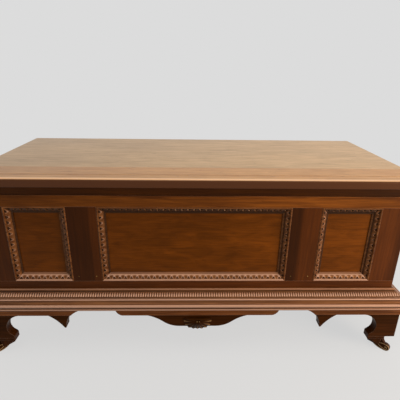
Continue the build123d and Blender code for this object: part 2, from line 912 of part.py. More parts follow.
def rod(x0, x1, radius):
    """A cylinder on the hinge axis from x0 to x1."""
    return Pos((x0 + x1) / 2, hinge_y, hinge_z) * Rot(0, 90, 0) * Cylinder(radius, x1 - x0)


def leaf(x, up):
    """One hinge leaf: its plate, and every second knuckle round the pin."""
    start = x - hinge_length / 2
    pitch = hinge_length / knuckle_count
    web = leaf_plate(x, up, back_y - cut_past, hinge_y)
    barrels = []
    for index in range(0 if up < 0 else 1, knuckle_count, 2):
        x0 = start + index * pitch + (knuckle_gap / 2 if index > 0 else 0)
        x1 = start + (index + 1) * pitch - (knuckle_gap / 2 if index < knuckle_count - 1 else 0)
        reach = barrel_radius
        web_here = web & block(x0, x1, back_y - cut_past, hinge_y, hinge_z - reach, hinge_z + reach)
        barrels.append(rod(x0, x1, barrel_radius) + web_here)
    plate = leaf_plate(x, up, back_y - leaf_width, back_y)
    for barrel in barrels:
        plate = plate + barrel
    plate = plate - rod(start - cut_past, start + hinge_length + cut_past, pin_radius + pin_clearance)
    for screw in screws(x, up):
        plate = plate - screw
    return plate


def make_hinges():
    for word, up in (("case", -1), ("lid", 1)):
        keep(f"hinge_leaves_{word}", *(leaf(x, up) for x in hinge_places()))
        made = [slotted(screw, up) for x in hinge_places() for screw in screws(x, up)]
        keep(f"hinge_screws_{word}", *made)
    half = hinge_length / 2
    pins = []
    for x in hinge_places():
        pin = rod(x - half, x + half, pin_radius)
        pin = pin + rod(x - half - pin_cap_height, x - half, pin_cap_radius)
        pins.append(pin + rod(x + half, x + half + pin_cap_height, pin_cap_radius))
    keep("hinge_pins", *pins)


# ---------------------------------------------------------------- build and write
make_front()
make_ends()
make_back()
make_base_mouldings()
make_base_frame()
make_front_brackets()
make_end_brackets()
make_apron()
make_shell()
make_toes()
make_rear_feet()
make_glue_blocks()
make_lid()
make_skirt()
make_hinges()

os.makedirs("parts", exist_ok=True)
for node, solids in parts.items():
    shape = solids[0] if len(solids) == 1 else Compound(children=solids)
    export_step(shape, f"parts/{node}.step")
    print(node, len(solids))
print(len(parts), "nodes")
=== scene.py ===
import math

import bpy
import numpy as np
from bpy.props import FloatProperty, FloatVectorProperty, IntProperty, PointerProperty
from bpy.types import Operator, Panel, PropertyGroup
from mathutils import Matrix, Vector


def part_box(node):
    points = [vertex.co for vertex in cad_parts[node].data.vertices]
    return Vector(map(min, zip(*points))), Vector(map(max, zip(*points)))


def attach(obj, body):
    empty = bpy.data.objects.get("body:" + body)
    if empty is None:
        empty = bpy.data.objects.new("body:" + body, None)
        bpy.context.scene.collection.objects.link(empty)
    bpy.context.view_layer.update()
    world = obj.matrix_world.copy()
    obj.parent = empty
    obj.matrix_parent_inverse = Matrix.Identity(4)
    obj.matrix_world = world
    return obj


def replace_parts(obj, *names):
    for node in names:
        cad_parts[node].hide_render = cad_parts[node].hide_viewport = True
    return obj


bl_info = {
    "name": "Panelled blanket chest",
    "version": (1, 0, 0),
    "blender": (4, 5, 0),
    "location": "View3D > Sidebar > Chest",
    "description": "Carving, finishes and stage for a panelled blanket chest on scroll feet",
    "category": "Object",
}

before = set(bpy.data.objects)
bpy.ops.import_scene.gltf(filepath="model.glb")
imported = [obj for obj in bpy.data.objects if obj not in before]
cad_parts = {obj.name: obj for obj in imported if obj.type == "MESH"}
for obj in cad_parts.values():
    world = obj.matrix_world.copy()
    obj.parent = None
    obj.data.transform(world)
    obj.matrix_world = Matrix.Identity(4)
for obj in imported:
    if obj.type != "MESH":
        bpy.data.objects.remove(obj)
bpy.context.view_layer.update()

MM = 0.001
SIDES = (("left", -1), ("right", 1))


def linear(code):
    """The linear colour of an sRGB hex value."""
    values = np.array([int(code[at:at + 2], 16) for at in (1, 3, 5)]) / 255
    bright = ((values + 0.055) / 1.055) ** 2.4
    return (*np.where(values <= 0.04045, values / 12.92, bright).tolist(), 1.0)


# ---------------------------------------------------------------- what a user would change
def size(name, description, default):
    """A size, given in millimetres and kept in metres."""
    return FloatProperty(name=name, description=description, default=default * MM, min=0, unit="LENGTH")


def colour(name, description, default):
    """A colour, given as sRGB hex."""
    return FloatVectorProperty(
        name=name,
        description=description,
        default=linear(default),
        size=4,
        min=0,
        max=1,
        subtype="COLOR",
    )


class ChestCarving(PropertyGroup):
    leaf_pitch: size("Leaf pitch", "Length of one leaf along a panel moulding", 15.7)
    leaf_depth: size("Leaf depth", "Depth of the cuts between the leaves", 2.4)
    rib_pitch: size("Rib pitch", "Spacing of the ribs along the base moulding", 6.5)
    rib_depth: size("Rib depth", "Depth of the cuts between the ribs", 2.0)
    lobes: IntProperty(name="Lobes", description="Lobes of the shell", default=9, min=3)
    lobe_depth: size("Lobe depth", "Depth of the hollows between the shell's ridges", 4.0)
    boss_radius: size("Boss radius", "Radius of the bosses at the shell's root", 1.5)
    coil_thickness: size("Coil thickness", "Thickness of the strip that a toe rolls up from", 3.4)
    coil_proud: size("Coil proud", "How far a toe's coil stands out of the toe's sides", 1.2)
    pin_radius: size("Pin radius", "Radius of the pins in the middle stiles", 1.4)


class ChestColours(PropertyGroup):
    frame_dark: colour("Frame, dark", "Darkest streaks of the rails and stiles", "#52290E")
    frame_light: colour("Frame, light", "Lightest streaks of the rails and stiles", "#623210")
    # Painted light: the top rail's tones are a lighter, lit copy of the frame's.
    rail_dark: colour("Top rail, dark", "Darkest streaks of the rail under the lid", "#6C3A14")
    rail_light: colour("Top rail, light", "Lightest streaks of the rail under the lid", "#96561E")
    panel_dark: colour("Panels, dark", "Darkest streaks of the panels", "#683606")
    panel_light: colour("Panels, light", "Lightest streaks of the panels", "#80440C")
    moulding_dark: colour("Mouldings, dark", "Darkest streaks of the mouldings", "#5A3014")
    moulding_light: colour("Mouldings, light", "Lightest streaks of the mouldings", "#8E5C34")
    # Grime in the cuts, which also stands for the painted shade there.
    grime_and_shade: colour("Grime", "What has settled in the cuts of the carving", "#1C0E06")
    # Worn edges and crests, which also carry painted highlight.
    rubbed: colour("Rubbed wood", "Edges and high parts that hands have worn", "#CDA48E")
    # The lid's pale tones, here and on its front board, hold a painted reflection of the room as well as
    # sun-fading.
    lid_dark: colour("Lid, dark", "Darkest streaks of the lid's rear board", "#CCA674")
    lid_light: colour("Lid, light", "Lightest streaks of the lid's rear board", "#E2BC8A")
    lid_front_dark: colour("Lid front, dark", "Darkest streaks of the lid's front board", "#CA9050")
    lid_front_light: colour("Lid front, light", "Lightest streaks of the lid's front board", "#E2AC6C")
    # The lid's pale front lip: wear and a painted highlight.
    lid_lip_worn_and_lit: colour("Lid, worn", "Paler wood along the lid's front edge", "#ECC094")
    lid_edge: colour("Lid edge", "Tint of the varnish left on the lid's edges and underside", "#584235")
    # The skirt's near-black tones are painted shade under the lid's overhang.
    skirt_dark: colour("Skirt, dark", "Darkest streaks of the rim under the lid", "#381A06")
    skirt_light: colour("Skirt, light", "Lightest streaks of the rim under the lid", "#442206")
    foot_dark: colour("Feet, dark", "Darkest streaks of the feet and apron", "#341A04")
    foot_light: colour("Feet, light", "Lightest streaks of the feet and apron", "#46240A")
    strip_dark: colour("Strips, dark", "Darkest streaks of the strips over the feet", "#5A3014")
    strip_light: colour("Strips, light", "Lightest streaks of the strips over the feet", "#84502A")
    coil_dark: colour("Toe coils, dark", "Darkest streaks of the toe coils", "#3E2410")
    coil_light: colour("Toe coils, light", "Lightest streaks of the toe coils", "#5C3C20")
    # The coils' sides: painted highlight.
    coil_worn: colour("Toe coils, worn", "Sides of the strip that the toes roll up from", "#B0926A")
    raw_dark: colour("Inside, dark", "Darkest streaks of the bare wood", "#6B4A2B")
    raw_light: colour("Inside, light", "Lightest streaks of the bare wood", "#A98258")
    # Painted highlight on the shell's ridges.
    ridge_highlight: colour("Gold wax", "Gold wax left on the shell's ridges", "#A88458")
    brass: colour("Brass", "Worn brass", "#C2A05A")
    tarnish: colour("Tarnish", "Tarnish on the brass", "#5C4522")
    background: colour("Background", "Floor and backdrop", "#DCDCDC")
    floor: colour("Floor", "Seen tone of the floor where light and shadow fall on it", "#F0F4F8")


def carving():
    """The carving sizes of the current scene."""
    return bpy.context.scene.chest_carving


def shade(name):
    """A colour of the current scene."""
    return tuple(getattr(bpy.context.scene.chest_colours, name))


# ---------------------------------------------------------------- surfaces
MITRE_RUN = 50 * MM  # length at a mitred end over which spacing changes


def arc(start, end, bow, count):
    """Points after start, up to end, on the arc whose middle lies bow to the left of the chord.

    With half-angle f = 2 atan(2 bow / chord), the point at angle a between -f and f lies
    sin(a) / sin(f) half-chords along and (cos(a) - cos(f)) / sin(f) half-chords out.
    """
    start, end = np.array(start), np.array(end)
    half = (end - start) / 2
    left = np.array((-half[1], half[0]))
    half_angle = 2 * math.atan2(bow, np.hypot(*half))
    angle = np.linspace(-half_angle, half_angle, count + 1)[1:, None]
    along = np.sin(angle) / math.sin(half_angle)
    out = (np.cos(angle) - math.cos(half_angle)) / math.sin(half_angle)
    return (start + end) / 2 + along * half + out * left


def repeat_phase(position, pitch):
    """Place within a repeat, from -0.5 to 0.5, with 0 in the middle of each repeat."""
    turns = position / pitch
    return turns - np.floor(turns) - 0.5


def rounded(offset, half_width):
    """Height, 0 to 1, of a rounded ridge: the root of 1 - (offset / half_width) squared."""
    return np.sqrt(np.clip(1 - (offset / half_width) ** 2, 0, 1))


def mitred(along, half, inset, ends):
    """Positions along a length whose ends, -1 and 1 or one of them, are cut at 45 degrees.

    Over the last MITRE_RUN each position slides outwards by up to inset, so the end face
    lies in the mitre's plane and the middle keeps its spacing.
    """
    slide = np.clip((np.abs(along) - half) / MITRE_RUN + 1, 0, 1)
    cut = np.isin(np.sign(along), ends)
    return along + np.sign(along) * slide * cut * inset


def lofted(loops, relief=1.0):
    """A closed solid through a stack of loops, with a relief value at each point.

    loops[i, j] is point j of loop i. Neighbouring loops are joined by four-sided faces,
    and the first and last loops are filled. The faces are turned round if the sum of the
    triple products about the middle, six times the solid's volume, comes out negative.
    """
    count, around = loops.shape[:2]
    index = np.arange(count * around).reshape(count, around)
    ahead = np.roll(index, -1, axis=1)
    sides = np.stack((index[:-1], index[1:], ahead[1:], ahead[:-1]), axis=-1).reshape(-1, 4)
    points = loops.reshape(-1, 3)
    a, b, c, d = (points[sides[:, corner]] - points.mean(0) for corner in range(4))
    volume = (np.cross(a, b) * c).sum() + (np.cross(a, c) * d).sum()
    faces = sides.tolist() + [index[0].tolist(), index[-1][::-1].tolist()]
    if volume < 0:
        faces = [face[::-1] for face in faces]
    return points, faces, np.broadcast_to(relief, (count, around)).reshape(-1)


def dome(centre, out, radius, height, start=0.15, rings=5, around=12):
    """A domed head: the ring at angle a from its pole has radius sin(a) and height cos(a).

    The first ring lies at start radians and closes the pole, and the last at 90 degrees.
    """
    out = Vector(out).normalized()
    side = out.orthogonal().normalized()
    basis = np.array((side, out.cross(side), out))
    tilt = np.linspace(start, math.pi / 2, rings)[:, None]
    turn = np.linspace(0, 2 * math.pi, around, endpoint=False)[None, :]
    spread = radius * np.sin(tilt)
    local = (spread * np.cos(turn), spread * np.sin(turn), height * np.cos(tilt) + 0 * turn)
    return lofted(np.array(centre) + np.stack(local, axis=-1) @ basis)


def make_piece(name, solids, material, crease=40.0):
    """Joins closed solids into one object that rides on the chest, smooth up to the crease angle."""
    starts = np.cumsum([0] + [len(points) for points, _, _ in solids])
    faces = []
    for start, (_, own_faces, _) in zip(starts.tolist(), solids):
        faces.extend([corner + start for corner in face] for face in own_faces)
    mesh = bpy.data.meshes.new(name)
    mesh.from_pydata(np.vstack([points for points, _, _ in solids]).tolist(), [], faces)
    relief = mesh.attributes.new("relief", "FLOAT", "POINT")
    relief.data.foreach_set("value", np.hstack([own for _, _, own in solids]).astype(np.float32))
    mesh.shade_smooth()
    mesh.set_sharp_from_angle(angle=math.radians(crease))
    mesh.materials.append(material)
    piece = bpy.data.objects.new(name, mesh)
    bpy.context.scene.collection.objects.link(piece)
    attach(piece, "chest")
    return piece


# ---------------------------------------------------------------- materials
QUARTER = math.pi / 2
GRAIN_TURNS = {"X": (0, 0, 0), "Y": (0, 0, -QUARTER), "Z": (0, QUARTER, 0)}
# Detail and distortion of the figure's noise, and its values at the darkest and lightest streaks.
FIGURE_NOISE = (5.0, 0.9, 0.34, 0.66)
# Length and width of each mark, detail and distortion of its noise, and the noise's values where
# the mark is deepest and where it ends. Real pores are a tenth as wide, and wouldn't show.
MARKS = {
    "pores": (55 * MM, 2.6 * MM, 3.0, 0.0, 0.38, 0.56),
    "patches": (220 * MM, 88 * MM, 2.0, 0.0, 0.32, 0.66),
    "dents": (24 * MM, 4 * MM, 1.0, 0.4, 0.27, 0.3),
}
BOARD_SHIFT = (0.37, 0.61, 0.23)  # metres that each seed moves the pattern by
EDGE_ROUNDING = 2.0 * MM
EDGE_FACING = (0.98, 0.8)  # cosines between face and rounded normal, at none of the worn and highlit colour and at full
GRIME_AND_SHADE_RELIEF = (0.42, 0.08)  # relief values where the grime and painted shade start and where they are full
CREST_RELIEF = (0.52, 0.92)  # and where the crests' colour, painted highlight with wear on the mouldings, does
PORE_BUMP = 0.3 * MM
PORE_GLOSS = 0.1  # what the pores add to the roughness and take from it
MIX_A, MIX_B, MIX_RESULT = 6, 7, 2  # the colour sockets of a Mix node
SHEEN_TINT = "#C88A54"  # amber of old varnish in its own sheen


def grey(value):
    """A neutral colour."""
    return (value, value, value, 1.0)


def add(tree, kind, inputs=None, stops=None, **settings):
    """Adds a node with its settings, its input values or links, and a ramp's two stops."""
    made = tree.nodes.new(kind)
    for name, value in settings.items():
        setattr(made, name, value)
    for key, value in (inputs or {}).items():
        if isinstance(value, bpy.types.NodeSocket):
            tree.links.new(value, made.inputs[key])
        else:
            made.inputs[key].default_value = value
    if stops:
        for element, (position, tone) in zip(made.color_ramp.elements, stops):
            element.position = position
            element.color = tone
    return made


def new_material(name):
    """A material and its empty node tree."""
    material = bpy.data.materials.new(name)
    material.use_nodes = True
    tree = material.node_tree
    tree.nodes.clear()
    return material, tree


def timber(name, grain, shades, seed, figure=(190.0, 9.0), pore_depth=0.8, patch_depth=0.72, dents=0.8,
           roughness=0.4, coat=0.06, polish=0.14, specular=0.22, wear=0.22, stains=(), crest=None):
    """Wood with streaks of figure, pores, patches and dents, under varnish where coat is over 0.

    The grain is noise drawn out along the grain axis, and figure gives the length and width
    of its streaks in millimetres. A stain is (axis, start, end, blend, colour) and comes in
    smoothly from start to end on that axis. Edges have a rounded normal and a tone of wear
    and painted highlight. Where crest names a colour, the cuts hold grime and painted shade,
    and the crests that colour, a painted highlight, by the piece's relief value.
    """
    material, tree = new_material(name)
    place = add(tree, "ShaderNodeTexCoord").outputs["Object"]
    axes = add(tree, "ShaderNodeSeparateXYZ", {"Vector": place}).outputs
    shift = tuple(seed * step for step in BOARD_SHIFT)
    turn = {"Vector": place, "Rotation": GRAIN_TURNS[grain], "Location": shift}
    turned = add(tree, "ShaderNodeMapping", turn).outputs[0]
    noises = {"figure": (figure[0] * MM, figure[1] * MM, *FIGURE_NOISE)} | MARKS
    ends = {
        "figure": (shade(f"{shades}_dark"), shade(f"{shades}_light")),
        "pores": (grey(pore_depth), grey(1.0)),
        "patches": (grey(patch_depth), grey(1.0)),
        "dents": (grey(dents), grey(1.0)),
    }
    cells, tones = {}, {}
    for key, (along, across, detail, distortion, *stops) in noises.items():
        scale = (1 / along, 1 / across, 1 / across)
        drawn = add(tree, "ShaderNodeMapping", {"Vector": turned, "Scale": scale}).outputs[0]
        values = {"Vector": drawn, "Scale": 1.0, "Detail": detail, "Distortion": distortion}
        cells[key] = add(tree, "ShaderNodeTexNoise", values).outputs["Fac"]
        ramp = add(tree, "ShaderNodeValToRGB", {"Fac": cells[key]}, zip(stops, ends[key]))
        tones[key] = ramp.outputs["Color"]

    layers = [("MULTIPLY", 1.0, tones[key]) for key in MARKS]
    for axis, start, end, kind, stain in stains:
        spread = {"Value": axes[axis], "From Min": start, "From Max": end}
        share = add(tree, "ShaderNodeMapRange", spread, interpolation_type="SMOOTHSTEP").outputs[0]
        layers.append((kind, share, stain))

    edge_normal = add(tree, "ShaderNodeBevel", {"Radius": EDGE_ROUNDING}, samples=6).outputs[0]
    face_normal = add(tree, "ShaderNodeNewGeometry").outputs["Normal"]
    normals = {0: edge_normal, 1: face_normal}
    facing = add(tree, "ShaderNodeVectorMath", normals, operation="DOT_PRODUCT").outputs["Value"]
    flat, turned_away = EDGE_FACING
    spread = {"Value": facing, "From Min": flat, "From Max": turned_away, "To Min": 0.0, "To Max": wear}
    # Edges take the colour of wear and painted highlight.
    layers.append(("MIX", add(tree, "ShaderNodeMapRange", spread).outputs[0], shade("rubbed")))
    # Cuts take grime and painted shade, and crests the crest colour, a painted highlight.
    if crest:
        relief = add(tree, "ShaderNodeAttribute", attribute_name="relief").outputs["Fac"]
        for (start, end), stain in ((GRIME_AND_SHADE_RELIEF, shade("grime_and_shade")), (CREST_RELIEF, shade(crest))):
            spread = {"Value": relief, "From Min": start, "From Max": end}
            layers.append(("MIX", add(tree, "ShaderNodeMapRange", spread).outputs[0], stain))

    tone = tones["figure"]
    for kind, share, stain in layers:
        values = {0: share, MIX_A: tone, MIX_B: stain}
        tone = add(tree, "ShaderNodeMix", values, data_type="RGBA", blend_type=kind).outputs[MIX_RESULT]

    bump = {"Height": cells["pores"], "Strength": 0.2, "Distance": PORE_BUMP, "Normal": edge_normal}
    gloss = {"Value": cells["pores"], "To Min": roughness + PORE_GLOSS, "To Max": roughness - PORE_GLOSS}
    surface = {
        "Base Color": tone,
        "Roughness": add(tree, "ShaderNodeMapRange", gloss).outputs[0],
        "Specular IOR Level": specular,
        "Specular Tint": linear(SHEEN_TINT),
        "Coat Weight": coat,
        "Coat Roughness": polish,
        "Normal": add(tree, "ShaderNodeBump", bump).outputs[0],
        "Coat Normal": edge_normal,
    }
    shader = add(tree, "ShaderNodeBsdfPrincipled", surface).outputs[0]
    add(tree, "ShaderNodeOutputMaterial", {"Surface": shader})
    return material


BRASS_SPOTS = 140.0  # per metre, so a patch of tarnish is about 7 mm across
BRASS_STOPS = (0.42, 0.62)  # noise values of full tarnish and of bare brass
BRASS_ROUGHNESS = (0.55, 0.28)  # tarnished and bare


def aged_brass(name):
    """Old brass gone dull: warm metal under patches of brown tarnish."""
    material, tree = new_material(name)
    place = add(tree, "ShaderNodeTexCoord").outputs["Object"]
    values = {"Vector": place, "Scale": BRASS_SPOTS, "Detail": 4.0}
    spots = add(tree, "ShaderNodeTexNoise", values).outputs["Fac"]
    stops = zip(BRASS_STOPS, (shade("tarnish"), shade("brass")))
    tone = add(tree, "ShaderNodeValToRGB", {"Fac": spots}, stops).outputs["Color"]
    dull, bare = BRASS_ROUGHNESS
    gloss = {"Value": spots, "To Min": dull, "To Max": bare}
    bump = {"Height": spots, "Strength": 0.2, "Distance": 0.2 * MM}
    surface = {
        "Base Color": tone,
        "Metallic": 1.0,
        "Roughness": add(tree, "ShaderNodeMapRange", gloss).outputs[0],
        "Normal": add(tree, "ShaderNodeBump", bump).outputs[0],
    }
    shader = add(tree, "ShaderNodeBsdfPrincipled", surface).outputs[0]
    add(tree, "ShaderNodeOutputMaterial", {"Surface": shader})
    return material


def finish(nodes, wood, shades, seed, stains=None, **recipe):
    """Gives each CAD node a timber of its own, named for the wood and the node."""
    for step, (node, grain) in enumerate(nodes.items()):
        own = stains(node) if stains else ()
        material = timber(f"{wood}_{node}", grain, shades, seed + step, stains=own, **recipe)
        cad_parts[node].data.materials[0] = material


def two(pattern, grain):
    """A left and a right node with their grain."""
    return {pattern.format(name): grain for name, _ in SIDES}


# ---------------------------------------------------------------- stage
CAMERA_PLACE = (-11.5 * MM, -1064.1 * MM, 790.3 * MM)
CAMERA_LENS = 32.0
CAMERA_SENSOR = 36.0
CAMERA_YAW = math.radians(1.632)  # to the right
CAMERA_PITCH = math.radians(20.755)  # downwards
CAMERA_ROLL = math.radians(0.873)  # clockwise turn of the view
FLOOR_HALF = 30.0
FLOOR_CLEAR = 1.1  # past this distance the floor starts to fade into the backdrop
FLOOR_FADE = 2.6  # and from this one on it is the backdrop's tone
FLOOR_GLOW = 0.84  # share of the seen floor's tone that no shadow takes away, near the chest
FLOOR_BOUNCE = 0.3  # how much of the light the floor scatters back up
SKY_TINT = "#FFF8F0"
SKY_STRENGTH = 0.38
LAMP_TARGET = (0.0, 0.0, 0.35)
LAMPS = (  # name, place, width and height in metres, watts and tint
    ("overhead", (0.3, -0.8, 2.3), (2.4, 1.5), 19.0, "#FFF6EA"),
    ("strip", (0.5, 1.5, 2.2), (2.2, 0.35), 8.0, "#FFF0DC"),
    ("fill", (1.8, -1.3, 0.7), (0.9, 0.7), 34.0, "#FFE8CC"),
)


class CHEST_OT_stage(Operator):
    """Pale floor and backdrop, soft lamps and the camera"""

    bl_idname = "chest.stage"
    bl_label = "Stage"

    def execute(self, context):
        scene = context.scene
        scene.view_settings.view_transform = "Standard"
        self.light_world(scene)
        self.lay_floor(scene)
        self.hang_lamps(scene)
        self.place_camera(scene)
        return {"FINISHED"}

    @staticmethod
    def seen(tree):
        """1 for rays from the camera, and for those that a shiny or clear surface sends on."""
        path = add(tree, "ShaderNodeLightPath").outputs
        total = path["Is Camera Ray"]
        for ray in ("Is Glossy Ray", "Is Transmission Ray"):
            total = add(tree, "ShaderNodeMath", {0: total, 1: path[ray]}, operation="MAXIMUM").outputs[0]
        return total

    def light_world(self, scene):
        """An even dome of soft light that is seen as the pale backdrop."""
        scene.world = bpy.data.worlds.new("studio")
        scene.world.use_nodes = True
        tree = scene.world.node_tree
        tree.nodes.clear()
        sky = {"Color": linear(SKY_TINT), "Strength": SKY_STRENGTH}
        soft = add(tree, "ShaderNodeBackground", sky).outputs[0]
        pale = add(tree, "ShaderNodeBackground", {"Color": shade("background")}).outputs[0]
        mixed = add(tree, "ShaderNodeMixShader", {0: self.seen(tree), 1: soft, 2: pale}).outputs[0]
        add(tree, "ShaderNodeOutputWorld", {"Surface": mixed})

    def lay_floor(self, scene):
        """A flat floor, pale where it is seen and greyer to the light that it scatters.

        The share of it that glows, and takes no shadow, grows with the distance from the
        chest until it is the backdrop's own tone.
        """
        material, tree = new_material("studio_floor")
        seen = self.seen(tree)
        place = add(tree, "ShaderNodeTexCoord").outputs["Object"]
        far = add(tree, "ShaderNodeVectorMath", {0: place}, operation="LENGTH").outputs["Value"]
        spread = {"Value": far, "From Min": FLOOR_CLEAR, "From Max": FLOOR_FADE, "To Min": FLOOR_GLOW}
        faded = add(tree, "ShaderNodeMapRange", spread, interpolation_type="SMOOTHSTEP").outputs[0]
        factor = add(tree, "ShaderNodeMath", {0: faded, 1: seen}, operation="MULTIPLY").outputs[0]
        tones = {0: seen, MIX_A: grey(FLOOR_BOUNCE), MIX_B: shade("floor")}
        tone = add(tree, "ShaderNodeMix", tones, data_type="RGBA").outputs[MIX_RESULT]
        matt = add(tree, "ShaderNodeBsdfDiffuse", {"Color": tone}).outputs[0]
        glow = add(tree, "ShaderNodeEmission", {"Color": shade("background")}).outputs[0]
        mixed = add(tree, "ShaderNodeMixShader", {0: factor, 1: matt, 2: glow}).outputs[0]
        add(tree, "ShaderNodeOutputMaterial", {"Surface": mixed})
        corners = [(-1, -1), (1, -1), (1, 1), (-1, 1)]
        mesh = bpy.data.meshes.new("studio_floor")
        mesh.from_pydata([(x * FLOOR_HALF, y * FLOOR_HALF, 0.0) for x, y in corners], [], [(0, 1, 2, 3)])
        mesh.materials.append(material)
        floor = bpy.data.objects.new("studio_floor", mesh)
        scene.collection.objects.link(floor)

    @staticmethod
    def hang_lamps(scene):
        """A broad lamp overhead, a strip behind it and a warm fill from the front right."""
        for name, place, (width, height), power, tint in LAMPS:
            lamp = bpy.data.lights.new(name, "AREA")
            lamp.shape = "RECTANGLE"
            lamp.size = width
            lamp.size_y = height
            lamp.energy = power
            lamp.color = linear(tint)[:3]
            holder = bpy.data.objects.new(name, lamp)
            holder.location = place
            holder.rotation_euler = (Vector(LAMP_TARGET) - Vector(place)).to_track_quat("-Z", "Y").to_euler()
            scene.collection.objects.link(holder)

    @staticmethod
    def place_camera(scene):
        """A camera in front of the chest and above it, turned by yaw, then pitch, then roll."""
        lens = bpy.data.cameras.new("camera")
        lens.lens = CAMERA_LENS
        lens.sensor_width = CAMERA_SENSOR
        camera = bpy.data.objects.new("camera", lens)
        yaw = Matrix.Rotation(-CAMERA_YAW, 4, "Z")
        pitch = Matrix.Rotation(QUARTER - CAMERA_PITCH, 4, "X")
        roll = Matrix.Rotation(CAMERA_ROLL, 4, "Z")
        camera.matrix_world = Matrix.Translation(CAMERA_PLACE) @ yaw @ pitch @ roll
        scene.collection.objects.link(camera)
        scene.camera = camera


# ---------------------------------------------------------------- case
PIN_INSET = 15.0 * MM  # a pin's distance from the edges of its stile
PIN_RISE = 0.6  # height of a pin's head, as a share of its radius
STAIN_STOP = 3.0 * MM  # thickness over which the outside's stain ends at a bare inner face
CASE_END = 560.0 * MM
LEFT_SHADE_TONE = 0.66  # painted shade at the left end, beside the lit right one
STILE_SHADOWS = {  # where a painted shadow starts and is full, and its tone
    "front_mid_stile_left": (-268 * MM, -276 * MM, 0.62),
    "front_mid_stile_right": (292 * MM, 274 * MM, 0.36),
    "front_corner_stile_right": (528 * MM, 552 * MM, 0.58),
}


def left_painted_shade(left_shade):
    """Painted shade over a length, darker towards its left end than at its lit right one."""
    return ("X", CASE_END, -CASE_END, "MULTIPLY", grey(left_shade))


def bare_inside(node):
    """Stains of a board of the front or an end: its inner face turns to bare wood."""
    low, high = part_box(node)
    if node.startswith("front"):
        axis, face, side = "Y", high.y, 1
    elif "left" in node:
        axis, face, side = "X", high.x, 1
    else:
        axis, face, side = "X", low.x, -1
    return ((axis, face - side * STAIN_STOP, face, "MIX", shade("raw_dark")),)


def shaded_to_the_left(node):
    """Stains of a board of the front: painted shade, darker to the left, and bare inside."""
    return (left_painted_shade(LEFT_SHADE_TONE), *bare_inside(node))


def shadowed_stile(node):
    """Stains of a stile: those of the front, and a painted shadow along one part of some."""
    stains = shaded_to_the_left(node)
    if node in STILE_SHADOWS:
        start, end, depth = STILE_SHADOWS[node]
        # A painted shadow along part of the stile.
        stains += (("X", start, end, "MULTIPLY", grey(depth)),)
    return stains


class CHEST_OT_case_frame(Operator):
    """Walnut rails and stiles, planed, stained dark and varnished"""

    bl_idname = "chest.case_frame"
    bl_label = "Rails and stiles"

    def execute(self, context):
        # A thin varnish on planed walnut: dark brown with streaks along each board and a low sheen.
        # The top rail takes lighter tones as painted light, and every front board takes painted shade to the
        # left.
        finish({"front_top_rail": "X"}, "stained_walnut", "rail", seed=1, stains=shaded_to_the_left)
        finish({"front_bottom_rail": "X"}, "stained_walnut", "frame", seed=2, stains=shaded_to_the_left)
        stiles = two("front_corner_stile_{}", "Z") | two("front_mid_stile_{}", "Z")
        finish(stiles, "stained_walnut", "frame", seed=3, stains=shadowed_stile, pore_depth=0.9)
        ends = two("end_{}_top_rail", "Y") | two("end_{}_bottom_rail", "Y") | two("end_{}_stiles", "Z")
        finish(ends, "stained_walnut", "frame", seed=7, stains=bare_inside)
        return {"FINISHED"}


class CHEST_OT_panels(Operator):
    """Warmer figured panels with their grain lying along the chest"""

    bl_idname = "chest.panels"
    bl_label = "Panels"

    def execute(self, context):
        # Sliced walnut veneer under varnish: warm brown with broad soft clouds and fine streaks.
        recipe = {"figure": (80.0, 26.0), "pore_depth": 0.8, "wear": 0.0}
        front = {"front_panel_centre": "X"} | two("front_panel_{}", "X")
        # Painted shade, darker to the left, on the front panels.
        finish(front, "walnut_veneer", "panel", seed=20, stains=shaded_to_the_left, **recipe)
        ends = two("end_{}_panel", "Y")
        finish(ends, "walnut_veneer", "panel", seed=23, stains=bare_inside, **recipe)
        return {"FINISHED"}


class CHEST_OT_pins(Operator):
    """Small domed pins at the foot of the middle stiles"""

    bl_idname = "chest.pins"
    bl_label = "Stile pins"

    def execute(self, context):
        radius = carving().pin_radius
        material = aged_brass("turned_brass_pins")
        opening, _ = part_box("panel_moulding_centre")
        heads = []
        for name, _ in SIDES:
            low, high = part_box(f"front_mid_stile_{name}")
            for x in (low.x + PIN_INSET, high.x - PIN_INSET):
                centre = (x, low.y, opening.z + PIN_INSET)
                heads.append(dome(centre, (0, -1, 0), radius, radius * PIN_RISE))
        make_piece("stile_pins", heads, material)
        return {"FINISHED"}


# ---------------------------------------------------------------- carved panel mouldings
PANEL_BEAD = 5.0  # panel moulding's profile, in millimetres
PANEL_WIDTH = 21.0
PANEL_PROUD = 1.5
OVOLO_STEP = 1.0
OVOLO_BOW = 2.6
FILLET_WIDTH = 4.5
FILLET_HEIGHT = 2.5
FILLET_STEP = 0.5
OVOLO_POINTS = 9
LEAF_SAMPLES = 10  # grid lines along one leaf
LEAF_REACH = 0.5  # share of the carved width over which a leaf opens out from its tip
LEAF_TIP = 0.01  # share of that reach over which a leaf keeps its tip's width
LEAF_HOLLOW = 0.4  # height of a leaf's middle, where its rim is 1
BAND_RUN = 0.3  # share of the carved width over which the leaves run out into the band
BAND_HEIGHT = 0.55  # of the smooth band past the leaves
CARVED_PARTS = 12  # the cuts deepen over the first and the last of this many parts of the width
# How light the leaves, band, fillet and bead of the bottom, left, top and right stick are: wear on the
# crests, and painted light, lit on the upward bottom stick and shaded on the downward top one.
STICK_LIGHT_AND_WEAR = ((1.0, 0.78, 0.6, 0.8), (0.85, 0.35, 0.15, 0.4), (0.3, 0.1, 0.1, 0.45), (0.75, 0.12, 0.3, 0.42))
WAXED = {"roughness": 0.34, "specular": 0.5, "coat": 0.08, "polish": 0.12, "wear": 0.0}


